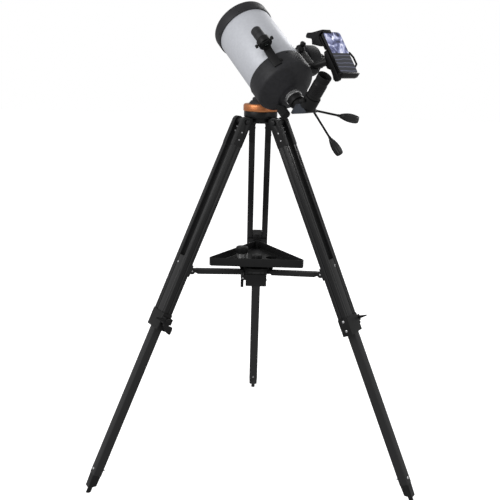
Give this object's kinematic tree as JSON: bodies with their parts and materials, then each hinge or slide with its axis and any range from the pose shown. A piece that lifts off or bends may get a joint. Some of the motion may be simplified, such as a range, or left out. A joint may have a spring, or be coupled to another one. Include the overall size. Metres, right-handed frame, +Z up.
{
  "type": "maksutov telescope",
  "caption": "Short fat silver catadioptric tube on a single-arm alt-azimuth head with slow-motion rods, a phone dock, a tray and an extending tripod",
  "frame": {"origin": "on the ground plane, directly under the azimuth axis", "axes": "+Z up along the azimuth axis, +Y towards the back leg, +X to the observer's right"},
  "size_m": [0.8644, 0.7526, 1.2582],
  "materials": {
    "black_paint": "satin powder coat",
    "black_plastic": "satin moulded",
    "rubber": "matte rubber",
    "orange_anodised": "anodised",
    "steel": "machined",
    "charcoal_paint": "fine texture paint",
    "silver_paint": "satin metallic",
    "lens_glass": "coated",
    "mirror_coat": "polished",
    "phone_case": "gloss",
    "phone_glass": "polished"
  },
  "bodies": {
    "tripod_head": {"hub": "black_paint", "azimuth_ring": "orange_anodised", "head_bolts": "steel"},
    "leg_front_left": {"leg_yoke_front_left": "black_paint", "leg_rails_front_left": "black_paint", "leg_collar_front_left": "black_plastic"},
    "lever_front_left": {"leg_lever_front_left": "black_plastic"},
    "extension_front_left": {"lower_tube_front_left": "black_paint", "foot_front_left": "rubber"},
    "brace_front_left": {"spreader_arm_front_left": "black_paint"},
    "leg_front_right": {"leg_yoke_front_right": "black_paint", "leg_rails_front_right": "black_paint", "leg_collar_front_right": "black_plastic"},
    "lever_front_right": {"leg_lever_front_right": "black_plastic"},
    "extension_front_right": {"lower_tube_front_right": "black_paint", "foot_front_right": "rubber"},
    "brace_front_right": {"spreader_arm_front_right": "black_paint"},
    "leg_back": {"leg_yoke_back": "black_paint", "leg_rails_back": "black_paint", "leg_collar_back": "black_plastic"},
    "lever_back": {"leg_lever_back": "black_plastic"},
    "extension_back": {"lower_tube_back": "black_paint", "foot_back": "rubber"},
    "brace_back": {"spreader_arm_back": "black_paint"},
    "spreader": {"spreader_plate": "black_plastic"},
    "tray": {"tray": "black_plastic"},
    "tray_knob": {"tray_knob": "black_plastic"},
    "spare": {"spare_eyepiece": "black_plastic"},
    "head": {"azimuth_base": "charcoal_paint", "mount_arm": "charcoal_paint", "slow_motion_gearbox": "charcoal_paint"},
    "azimuth_control": {"azimuth_rod": "black_paint", "azimuth_grip": "black_plastic"},
    "altitude_control": {"altitude_rod": "black_paint", "altitude_grip": "black_plastic"},
    "altitude_clutch": {"altitude_knob": "black_plastic"},
    "saddle": {"saddle": "charcoal_paint"},
    "saddle_clamp": {"saddle_knob": "black_plastic"},
    "optical_tube": {"dovetail_bar": "black_paint", "tube": "silver_paint", "front_ring": "charcoal_paint", "corrector_lens": "lens_glass", "secondary_baffle": "steel", "rear_cell": "charcoal_paint", "baffle_tube": "steel", "visual_back": "steel", "finder_bracket": "black_plastic", "dock_bracket": "black_plastic", "dock_plate": "black_plastic"},
    "mirror": {"primary_mirror": "mirror_coat"},
    "focus": {"focus_knob": "rubber"},
    "diagonal": {"diagonal_body": "black_plastic", "diagonal_mirror": "mirror_coat"},
    "eyepiece": {"eyepiece": "black_plastic"},
    "finder": {"finder_tube": "black_plastic", "finder_windows": "lens_glass"},
    "dock_clamp": {"dock_knob": "black_plastic"},
    "dock_jaw": {"dock_jaw": "black_plastic"},
    "phone": {"phone_body": "phone_case", "phone_screen": "phone_glass"}
  },
  "joints": [
    {"name": "fold_front_left", "type": "hinge", "parent": "tripod_head", "child": "leg_front_left", "pos_m": [-0.0485, -0.028, 0.957], "axis": [0.5, -0.866, 0], "range_deg": [0, 20]},
    {"name": "lever_front_left_open", "type": "hinge", "parent": "leg_front_left", "child": "lever_front_left", "pos_m": [-0.22515, -0.17791, 0.45426], "axis": [-0.7887, -0.4554, 0.4129], "range_deg": [0, 100]},
    {"name": "extend_front_left", "type": "slide", "parent": "leg_front_left", "child": "extension_front_left", "axis": [-0.3576, -0.2065, -0.9108], "range_m": [-0.28, 0.09]},
    {"name": "brace_front_left_swing", "type": "hinge", "parent": "leg_front_left", "child": "brace_front_left", "pos_m": [-0.17343, -0.10013, 0.57103], "axis": [0.5, -0.866, 0], "range_deg": [-94.3, 0]},
    {"name": "fold_front_right", "type": "hinge", "parent": "tripod_head", "child": "leg_front_right", "pos_m": [0.0485, -0.028, 0.957], "axis": [0.5, 0.866, 0], "range_deg": [0, 20]},
    {"name": "lever_front_right_open", "type": "hinge", "parent": "leg_front_right", "child": "lever_front_right", "pos_m": [0.26665, -0.10603, 0.45426], "axis": [0.7887, -0.4554, 0.4129], "range_deg": [0, 100]},
    {"name": "extend_front_right", "type": "slide", "parent": "leg_front_right", "child": "extension_front_right", "axis": [0.3576, -0.2065, -0.9108], "range_m": [-0.28, 0.09]},
    {"name": "brace_front_right_swing", "type": "hinge", "parent": "leg_front_right", "child": "brace_front_right", "pos_m": [0.17343, -0.10013, 0.57103], "axis": [0.5, 0.866, 0], "range_deg": [-94.3, 0]},
    {"name": "fold_back", "type": "hinge", "parent": "tripod_head", "child": "leg_back", "pos_m": [0, 0.056, 0.957], "axis": [-1, 0, 0], "range_deg": [0, 20]},
    {"name": "lever_back_open", "type": "hinge", "parent": "leg_back", "child": "lever_back", "pos_m": [-0.0415, 0.28395, 0.45426], "axis": [0, 0.9108, 0.4129], "range_deg": [0, 100]},
    {"name": "extend_back", "type": "slide", "parent": "leg_back", "child": "extension_back", "axis": [0, 0.4129, -0.9108], "range_m": [-0.28, 0.09]},
    {"name": "brace_back_swing", "type": "hinge", "parent": "leg_back", "child": "brace_back", "pos_m": [0, 0.20026, 0.57103], "axis": [-1, 0, 0], "range_deg": [-94.3, 0]},
    {"name": "spreader_slide", "type": "slide", "parent": "tripod_head", "child": "spreader", "axis": [0, 0, 1], "range_m": [-0.1711, 0]},
    {"name": "tray_lift", "type": "slide", "parent": "tripod_head", "child": "tray", "axis": [0, -0.8, 0.6], "range_m": [0, 0.4005]},
    {"name": "tray_knob_turn", "type": "hinge", "parent": "tray", "child": "tray_knob", "pos_m": [0, 0, 0.59], "axis": [0, 0, 1], "continuous": true},
    {"name": "spare_lift", "type": "slide", "parent": "tray", "child": "spare", "axis": [0, 0, 1], "range_m": [0, 0.05]},
    {"name": "azimuth_turn", "type": "hinge", "parent": "tripod_head", "child": "head", "pos_m": [0, 0, 1], "axis": [0, 0, 1], "continuous": true},
    {"name": "azimuth_control_turn", "type": "hinge", "parent": "head", "child": "azimuth_control", "pos_m": [0.126, 0.03, 0.989], "axis": [0.9833, 0, -0.1822], "continuous": true},
    {"name": "altitude_control_turn", "type": "hinge", "parent": "head", "child": "altitude_control", "pos_m": [0.1317, 0.042, 0.9962], "axis": [0.5606, 0, -0.8281], "continuous": true},
    {"name": "altitude_turn", "type": "hinge", "parent": "head", "child": "saddle", "pos_m": [0.01066, -0.06221, 1.11389], "axis": [0.7869, 0.617, 0], "range_deg": [-37, 12]},
    {"name": "altitude_clutch_turn", "type": "hinge", "parent": "head", "child": "altitude_clutch", "pos_m": [0.1405, 0.0396, 1.11389], "axis": [0.7869, 0.617, 0], "continuous": true},
    {"name": "tube_slide", "type": "slide", "parent": "saddle", "child": "optical_tube", "axis": [-0.4895, 0.6243, 0.6088], "range_m": [0, 0.04]},
    {"name": "saddle_knob_turn", "type": "hinge", "parent": "saddle", "child": "saddle_clamp", "pos_m": [0.05938, 0.00693, 1.08215], "axis": [0.3756, -0.4791, 0.7934], "continuous": true},
    {"name": "mirror_slide", "type": "slide", "parent": "optical_tube", "child": "mirror", "axis": [-0.4895, 0.6243, 0.6088], "range_m": [-0.006, 0.006]},
    {"name": "focus_turn", "type": "hinge", "parent": "optical_tube", "child": "focus", "pos_m": [0.05239, -0.15596, 0.99718], "axis": [-0.4895, 0.6243, 0.6088], "range_deg": [-721, 721]},
    {"name": "diagonal_turn", "type": "hinge", "parent": "optical_tube", "child": "diagonal", "pos_m": [0.08898, -0.1621, 1.01649], "axis": [-0.4895, 0.6243, 0.6088], "range_deg": [-90, 90]},
    {"name": "eyepiece_slide", "type": "slide", "parent": "diagonal", "child": "eyepiece", "axis": [0.3756, -0.4791, 0.7934], "range_m": [0, 0.03]},
    {"name": "finder_tilt", "type": "hinge", "parent": "optical_tube", "child": "finder", "pos_m": [0.00389, -0.16192, 1.15731], "axis": [0.8443, 0.1647, 0.51], "range_deg": [-1.5, 1.5]},
    {"name": "dock_knob_turn", "type": "hinge", "parent": "optical_tube", "child": "dock_clamp", "pos_m": [0.09992, -0.0464, 1.15302], "axis": [0.3756, -0.4791, 0.7934], "continuous": true},
    {"name": "dock_jaw_slide", "type": "slide", "parent": "optical_tube", "child": "dock_jaw", "axis": [-0.3756, 0.4791, 0.7934], "range_m": [0, 0.03]},
    {"name": "phone_slide", "type": "slide", "parent": "optical_tube", "child": "phone", "axis": [0.7869, 0.617, 0], "range_m": [0, 0.08]}
  ],
  "couplings": [
    {"joint": "brace_front_left_swing", "follows": "fold_front_left", "ratio": -4.71},
    {"joint": "fold_front_right", "follows": "fold_front_left", "ratio": 1},
    {"joint": "brace_front_right_swing", "follows": "fold_front_left", "ratio": -4.71},
    {"joint": "fold_back", "follows": "fold_front_left", "ratio": 1},
    {"joint": "brace_back_swing", "follows": "fold_front_left", "ratio": -4.71},
    {"joint": "spreader_slide", "follows": "fold_front_left", "m_per_rad": -0.4899},
    {"joint": "tray_lift", "follows": "fold_front_left", "m_per_rad": 1.1459},
    {"joint": "focus_turn", "follows": "mirror_slide", "rad_per_m": 2094.4}
  ]
}
